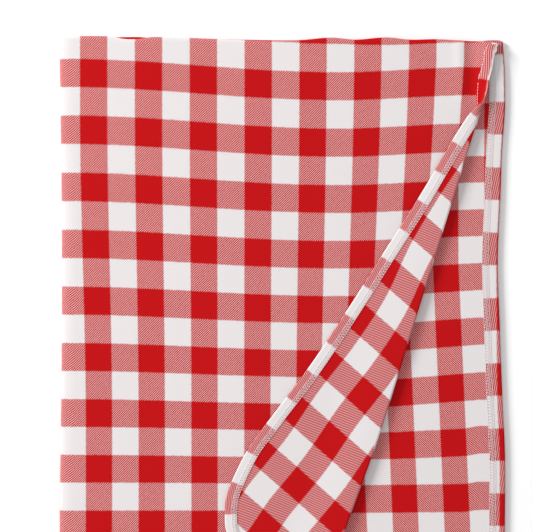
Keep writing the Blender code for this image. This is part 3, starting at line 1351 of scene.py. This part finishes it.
class COVER_OT_edging(bpy.types.Operator):
    """Makes the edging strips and their cover stitching"""

    bl_idname = "cover.edging"
    bl_label = "Edging and Stitching"

    def execute(self, context):
        width, face = trim().width, trim().face_width

        def drifting(point):
            return 0.0015 + 0.0065 * ease((0.15 - point.y) / 0.3)

        for node, height, shift, seam, wrong_up, body in (
            ("bottom", bottom_height, BOTTOM_SHIFT, side_seam, True, "lower_half"),
            ("lower_inner", lower_inner_height, LOWER_INNER_SHIFT, inner_seam, False, "lower_half"),
            ("upper_inner", upper_inner_height, UPPER_INNER_SHIFT, inner_seam, True, "upper_half"),
        ):
            hem = full_hem(shift)
            hem += end_hem(hem[-1], seam(END))
            edge = level_edge(hem, height, wrong_up)
            first_place = (hem[0].x, FIRST_BLOCK_Y)
            blocks = block_counts(edge, first_place, 1, trim().block, trim().top_block)
            strip = edging_strip(node + "_edging_strip", edge, width, face, blocks, drifting)
            sewing = cover_stitch(node + "_cover_stitch", edge, width)
            for piece, kind in ((strip, "_edging"), (sewing, "_stitching")):
                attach(piece, body)
                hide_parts(node + kind)
        self.folded_back_hem(width, face)
        return {"FINISHED"}

    def folded_back_hem(self, width, face):
        """The top layer's hem: down its side, over the crease, round the turned corner and back."""
        places, runs = folded_hem()
        narrow = trim().turned_width / width
        first, last = runs["crossing"]
        back_first, back_last = runs["end_crossing"]

        def scale(i):
            if i <= last:
                return 1 + (narrow - 1) * ease((i - first) / (last - first))
            return narrow + (1 - narrow) * ease((i - back_first) / (back_last - back_first))

        edge = flat_edge(places, scale)
        low, high = CREASE_PLACE.copy(), CREASE_PLACE.copy()
        low.z, high.z = TOP_Z + trim().puff, TURNED_Z - trim().puff
        block = trim().turned_block
        blocks = block_counts(edge, TURNED_HEM[1], 2, block, 1.15 * block)

        def past_edge(point):
            return TURNED_BOUNDARY

        for run, body, node in (
            ("side", "upper_half", "top_side"),
            ("crossing", None, None),
            ("turned", "corner_flap", "turned_corner"),
            ("end_crossing", None, None),
            ("end", "upper_half", "top_end"),
        ):
            start, end = runs[run]
            part = part_of(edge, start, end)
            run_blocks = blocks[start : end + 1]
            strip = edging_strip(run + "_edging_strip", part, width, face, run_blocks, past_edge)
            sewing = cover_stitch(run + "_cover_stitch", part, width)
            for piece, kind in ((strip, "_edging"), (sewing, "_stitching")):
                if body:
                    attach(piece, body)
                    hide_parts(node + kind)
                else:
                    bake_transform(piece)
                    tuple(low)
                    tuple(high)


class COVER_OT_stage(bpy.types.Operator):
    """Makes the floor, the lights and the camera"""

    bl_idname = "cover.stage"
    bl_label = "Stage"

    def execute(self, context):
        scene = context.scene
        stage = scene.cover_stage
        shape = bmesh.new()
        bmesh.ops.create_grid(shape, x_segments=1, y_segments=1, size=stage.floor_size / 2)
        bmesh.ops.translate(shape, verts=shape.verts, vec=(0, 0, FLOOR_Z))
        _, _, surface = new_finish("floor")
        surface.inputs["Base Color"].default_value = (0.93, 0.93, 0.93, 1)
        surface.inputs["Roughness"].default_value = 0.9
        surface.inputs["Specular IOR Level"].default_value = 0.1
        finished("floor", shape, "floor")
        key = bpy.data.lights.new("key", "AREA")
        key.energy = stage.key_power
        key.size = KEY_SIZE
        lamp = linked("key", key)
        lamp.location = KEY_PLACE
        lamp.rotation_euler = (-KEY_PLACE).to_track_quat("-Z", "Y").to_euler()
        world = bpy.data.worlds.new("studio")
        world.use_nodes = True
        background = world.node_tree.nodes["Background"]
        background.inputs["Color"].default_value = (1, 1, 1, 1)
        background.inputs["Strength"].default_value = stage.fill
        scene.world = world
        scene.view_settings.view_transform = "Standard"
        camera = bpy.data.cameras.new("camera")
        camera.lens = camera.sensor_width * stage.camera_height / stage.view_width
        viewer = linked("camera", camera)
        viewer.location = (*VIEW_CENTRE, TOP_Z + stage.camera_height)
        scene.camera = viewer
        return {"FINISHED"}


class COVER_PT_panel(bpy.types.Panel):
    """The steps of making the cover, in order"""

    bl_idname = "COVER_PT_panel"
    bl_label = "Table Cover"
    bl_space_type = "VIEW_3D"
    bl_region_type = "UI"
    bl_category = "Table Cover"

    def draw(self, context):
        for operator in OPERATORS:
            self.layout.operator(operator.bl_idname)
        for group in (name for name, _ in SETTINGS):
            settings = getattr(context.scene, group)
            box = self.layout.box()
            for prop in settings.__annotations__:
                box.prop(settings, prop)


SETTINGS = (
    ("cover_sizes", CoverSizes),
    ("cover_edging", EdgingSizes),
    ("cover_finishes", CoverFinishes),
    ("cover_stage", StageSizes),
)
OPERATORS = (
    COVER_OT_finishes,
    COVER_OT_layers,
    COVER_OT_side_folds,
    COVER_OT_turned_corner,
    COVER_OT_edging,
    COVER_OT_stage,
)


def register():
    for name, group in SETTINGS:
        bpy.utils.register_class(group)
        setattr(bpy.types.Scene, name, PointerProperty(type=group))
    for operator in OPERATORS:
        bpy.utils.register_class(operator)
    bpy.utils.register_class(COVER_PT_panel)


def unregister():
    bpy.utils.unregister_class(COVER_PT_panel)
    for operator in reversed(OPERATORS):
        bpy.utils.unregister_class(operator)
    for name, group in reversed(SETTINGS):
        delattr(bpy.types.Scene, name)
        bpy.utils.unregister_class(group)


def main():
    register()
    bpy.ops.cover.finishes()
    bpy.ops.cover.layers()
    bpy.ops.cover.side_folds()
    bpy.ops.cover.turned_corner()
    bpy.ops.cover.edging()
    bpy.ops.cover.stage()


if __name__ == "__main__":
    main()
